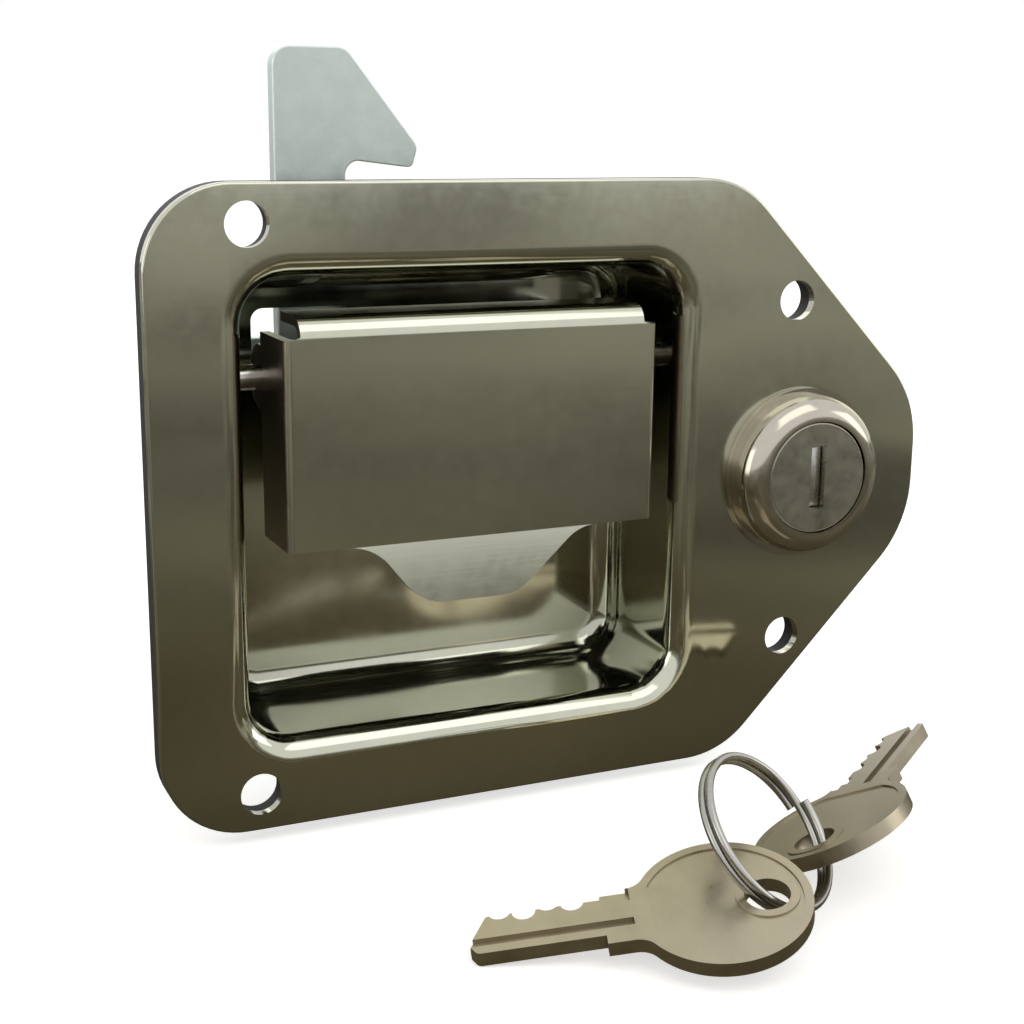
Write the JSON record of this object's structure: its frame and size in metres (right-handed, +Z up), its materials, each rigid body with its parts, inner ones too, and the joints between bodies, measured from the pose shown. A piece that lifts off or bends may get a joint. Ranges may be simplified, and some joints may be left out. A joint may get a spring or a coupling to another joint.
{
  "type": "paddle latch",
  "caption": "Flush paddle latch: polished faceplate with a deep-drawn recess, a sprung paddle that swings a hook bolt, a key lock, and its keys on a split ring.",
  "frame": {"origin": "centre of the paddle recess, in the plane of the panel's outer face", "axes": "+X along the plate towards the lock, +Y through the panel away from the user, +Z up towards the hook's nose"},
  "size_m": [0.134, 0.1054, 0.1191],
  "materials": {
    "stainless_polished": "mirror-polished stainless steel",
    "black_rubber": "matt sheet rubber",
    "zinc_plated": "dull zinc plating",
    "spring_steel": "drawn wire",
    "nickel_lock": "polished nickel plating",
    "nickel_key": "worn nickel plating",
    "brass_wafer": "plain brass"
  },
  "bodies": {
    "housing": {"faceplate_pan": "stainless_polished", "gasket": "black_rubber", "hinge_pin": "stainless_polished", "pin_clip": "spring_steel", "pivot_stud": "zinc_plated", "pivot_spacer": "zinc_plated", "pivot_washer": "zinc_plated", "guide_stud": "zinc_plated", "spring_post": "zinc_plated", "hook_spring": "spring_steel", "lock_housing": "nickel_lock", "lock_washer": "zinc_plated", "lock_nut": "zinc_plated"},
    "paddle": {"paddle": "stainless_polished", "release_arm": "zinc_plated", "paddle_spring": "spring_steel"},
    "hook": {"hook_bolt": "zinc_plated", "tail_peg": "zinc_plated"},
    "plug": {"lock_plug": "nickel_lock", "lock_wafers": "brass_wafer", "lock_cam": "zinc_plated", "cam_washer": "zinc_plated", "cam_screw": "zinc_plated"},
    "key_set": {"key_front": "nickel_key", "key_rear": "nickel_key", "split_ring": "spring_steel"}
  },
  "joints": [
    {"name": "paddle_swing", "type": "hinge", "parent": "housing", "child": "paddle", "pos_m": [0, 0.0075, 0.0194], "axis": [1, 0, 0], "range_deg": [-28, 0], "stiffness_Nm_per_rad": 0.25, "springref_deg": 28.65},
    {"name": "hook_swing", "type": "hinge", "parent": "housing", "child": "hook", "pos_m": [-0.012, 0.02355, -0.012], "axis": [0, 1, 0], "range_deg": [-14, 0], "stiffness_Nm_per_rad": 0.2, "springref_deg": 17.19, "deforming": ["hook_spring"]},
    {"name": "plug_turn", "type": "hinge", "parent": "housing", "child": "plug", "pos_m": [0.0595, 0, 0], "axis": [0, 1, 0], "range_deg": [0, 90]},
    {"name": "key_set_lift", "type": "slide", "parent": "housing", "child": "key_set", "axis": [0, 0, 1], "range_m": [0, 0.03]}
  ],
  "couplings": [
    {"joint": "hook_swing", "follows": "paddle_swing", "ratio": 0.5}
  ]
}
